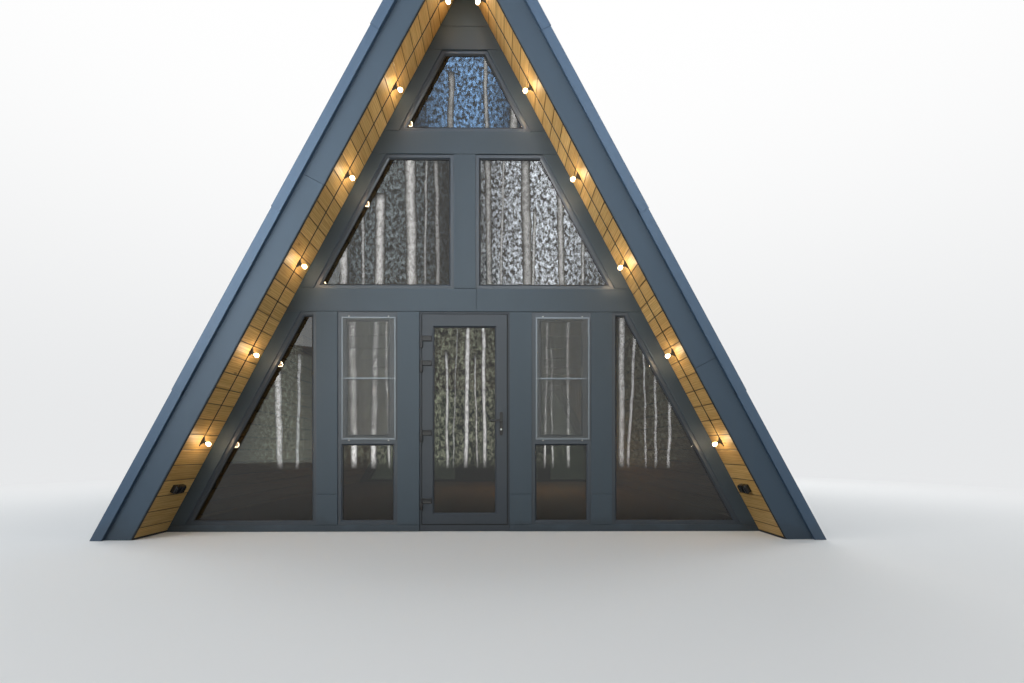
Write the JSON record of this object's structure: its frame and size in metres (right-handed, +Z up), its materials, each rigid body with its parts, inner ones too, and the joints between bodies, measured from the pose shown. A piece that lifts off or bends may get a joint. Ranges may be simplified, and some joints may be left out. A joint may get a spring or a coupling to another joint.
{
  "type": "a-frame cabin",
  "caption": "A-frame cabin with steep standing-seam metal slopes down to the ground, a glazed front gable, pine-lined overhangs and a hinged glass door.",
  "frame": {"origin": "middle of the plan, on the level that the cabin stands on", "axes": "+Z up, front gable with the door faces -Y, the ridge runs along Y, +X to the right seen from the front"},
  "size_m": [6.9206, 8, 6.4348],
  "materials": {
    "roof_metal": "satin blue-grey coated sheet",
    "roof_timber": "sawn timber roof build-up",
    "pine_boards": "oiled pine boards",
    "wall_panels": "smooth panels painted blue-grey",
    "window_frames": "smooth anthracite",
    "screen_frames": "powder-coated anthracite",
    "window_glass": "reflective double glazing",
    "door_profiles": "smooth anthracite",
    "black_metal": "satin black",
    "floor_boards": "oiled boards",
    "black_plastic": "moulded black plastic",
    "bulb_glass": "frosted warm bulb"
  },
  "bodies": {
    "root": {"left_roof_sheeting": "roof_metal", "right_roof_sheeting": "roof_metal", "left_fascias": "roof_metal", "right_fascias": "roof_metal", "left_verge_caps": "roof_metal", "right_verge_caps": "roof_metal", "left_eave_trim": "roof_metal", "right_eave_trim": "roof_metal", "ridge_cap": "roof_metal", "left_roof_slab": "roof_timber", "right_roof_slab": "roof_timber", "left_roof_lining": "pine_boards", "right_roof_lining": "pine_boards", "front_sill": "wall_panels", "front_left_panels": "wall_panels", "front_right_panels": "wall_panels", "front_left_rafter_boards": "wall_panels", "front_right_rafter_boards": "wall_panels", "front_floor_beam": "wall_panels", "front_upper_beam": "wall_panels", "front_centre_post": "wall_panels", "front_gable_panel": "wall_panels", "rear_sill": "wall_panels", "rear_panels": "wall_panels", "rear_rafter_boards": "wall_panels", "rear_beams": "wall_panels", "front_left_window_frames": "window_frames", "front_right_window_frames": "window_frames", "front_upper_window_frames": "window_frames", "left_sash": "window_frames", "right_sash": "window_frames", "rear_window_frames": "window_frames", "left_insect_screen": "screen_frames", "right_insect_screen": "screen_frames", "front_left_window_glass": "window_glass", "front_right_window_glass": "window_glass", "front_upper_window_glass": "window_glass", "rear_window_glass": "window_glass", "door_frame": "door_profiles", "frame_hinges": "black_metal", "ground_floor": "floor_boards", "upper_floor": "floor_boards", "light_cable": "black_plastic", "socket_boxes": "black_plastic", "light_bulbs": "bulb_glass"},
    "door": {"door_leaf": "door_profiles", "door_glass": "window_glass", "leaf_hinges": "black_metal", "handle_plates": "black_metal"},
    "levers": {"door_levers": "black_metal"}
  },
  "joints": [
    {"name": "door_swing", "type": "hinge", "parent": "root", "child": "door", "pos_m": [-0.4445, -3.511, 1], "axis": [0, 0, -1], "range_deg": [0, 100]},
    {"name": "lever_turn", "type": "hinge", "parent": "door", "child": "levers", "pos_m": [0.38, -3.5, 1.156], "axis": [0, -1, 0], "range_deg": [0, 40], "stiffness_Nm_per_rad": 2, "springref_deg": -20.05}
  ]
}
